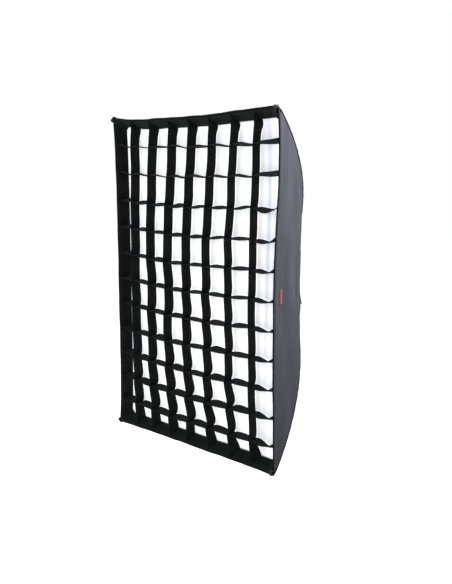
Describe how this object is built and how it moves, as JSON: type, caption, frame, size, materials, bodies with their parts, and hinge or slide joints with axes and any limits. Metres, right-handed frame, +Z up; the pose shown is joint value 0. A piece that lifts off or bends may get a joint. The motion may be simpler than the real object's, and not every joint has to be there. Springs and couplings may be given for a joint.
{
  "type": "softbox",
  "caption": "Tall rectangular softbox with slate fabric walls, a white diffuser, a black fabric grid and a rotating bayonet speedring.",
  "frame": {"origin": "centre of the seat where the bayonet insert meets the lamp", "axes": "+Y runs back along the light's axis into the lamp, so the open front faces -Y; +Z is up along the long side of the front; +X completes a right-handed frame"},
  "size_m": [0.8052, 0.552, 1.2066],
  "materials": {
    "outer_nylon": "woven slate nylon",
    "silver_lining": "coated silver",
    "grid_fabric": "matte black cloth",
    "black_webbing": "woven binding",
    "hook_tape": "hook and loop tape",
    "spring_steel": "drawn",
    "zinc_steel": "zinc plated",
    "screw_steel": "blackened",
    "ring_enamel": "satin black",
    "anodised_alloy": "turned and anodised",
    "black_plastic": "moulded",
    "nylon_pad": "cast nylon",
    "elastic_band": "woven elastic",
    "diffusion_cloth": "white translucent cloth",
    "woven_tab": "woven red tape"
  },
  "bodies": {
    "shell": {"panel_right": "outer_nylon", "panel_left": "outer_nylon", "panel_top": "outer_nylon", "panel_bottom": "outer_nylon", "lining_right": "silver_lining", "lining_left": "silver_lining", "lining_top": "silver_lining", "lining_bottom": "silver_lining", "seam_bindings": "black_webbing", "front_hem": "black_webbing", "loop_tapes": "hook_tape", "corner_pockets": "black_webbing", "rod_caps": "black_plastic", "rod_top_right": "spring_steel", "rod_top_left": "spring_steel", "rod_bottom_right": "spring_steel", "rod_bottom_left": "spring_steel", "rod_socket_top_right": "zinc_steel", "rod_socket_top_left": "zinc_steel", "rod_socket_bottom_right": "zinc_steel", "rod_socket_bottom_left": "zinc_steel", "socket_screws": "screw_steel", "speedring_body": "ring_enamel", "rear_collar": "elastic_band", "inner_baffle": "diffusion_cloth", "baffle_elastics": "elastic_band", "baffle_loops": "zinc_steel", "side_tab": "woven_tab"},
    "insert": {"bayonet_insert": "anodised_alloy", "retaining_ring": "anodised_alloy", "retaining_screws": "screw_steel"},
    "lock_pad": {"brake_pad": "nylon_pad"},
    "lock_screw": {"lock_knob": "black_plastic"},
    "diffuser": {"front_diffuser": "diffusion_cloth", "diffuser_tapes": "hook_tape"},
    "grid": {"grid_border_right": "grid_fabric", "grid_border_left": "grid_fabric", "grid_border_top": "grid_fabric", "grid_border_bottom": "grid_fabric", "grid_vertical_01": "grid_fabric", "grid_vertical_02": "grid_fabric", "grid_vertical_03": "grid_fabric", "grid_vertical_04": "grid_fabric", "grid_vertical_05": "grid_fabric", "grid_vertical_06": "grid_fabric", "grid_vertical_07": "grid_fabric", "grid_horizontal_01": "grid_fabric", "grid_horizontal_02": "grid_fabric", "grid_horizontal_03": "grid_fabric", "grid_horizontal_04": "grid_fabric", "grid_horizontal_05": "grid_fabric", "grid_horizontal_06": "grid_fabric", "grid_horizontal_07": "grid_fabric", "grid_horizontal_08": "grid_fabric", "grid_horizontal_09": "grid_fabric", "grid_horizontal_10": "grid_fabric", "grid_horizontal_11": "grid_fabric"},
    "flap": {"closure_flap": "black_webbing"}
  },
  "joints": [
    {"name": "insert_turn", "type": "hinge", "parent": "shell", "child": "insert", "pos_m": [0, 0, 0], "axis": [0, 1, 0], "continuous": true},
    {"name": "lock_pad_slide", "type": "slide", "parent": "shell", "child": "lock_pad", "axis": [-1, 0, 0], "range_m": [0, 0.0015]},
    {"name": "lock_screw_turn", "type": "hinge", "parent": "lock_pad", "child": "lock_screw", "pos_m": [-0.083, -0.013, 0], "axis": [-1, 0, 0], "range_deg": [0, 540]},
    {"name": "diffuser_pull", "type": "slide", "parent": "shell", "child": "diffuser", "axis": [0, -1, 0], "range_m": [0, 0.3]},
    {"name": "grid_pull", "type": "slide", "parent": "diffuser", "child": "grid", "axis": [0, -1, 0], "range_m": [0, 0.3]},
    {"name": "flap_swing", "type": "hinge", "parent": "shell", "child": "flap", "pos_m": [0.11522, -0.04713, -0.03], "axis": [0.8072, -0.5902, 0], "range_deg": [0, 100]}
  ],
  "couplings": [
    {"joint": "lock_pad_slide", "follows": "lock_screw_turn", "m_per_rad": 0.000159}
  ]
}
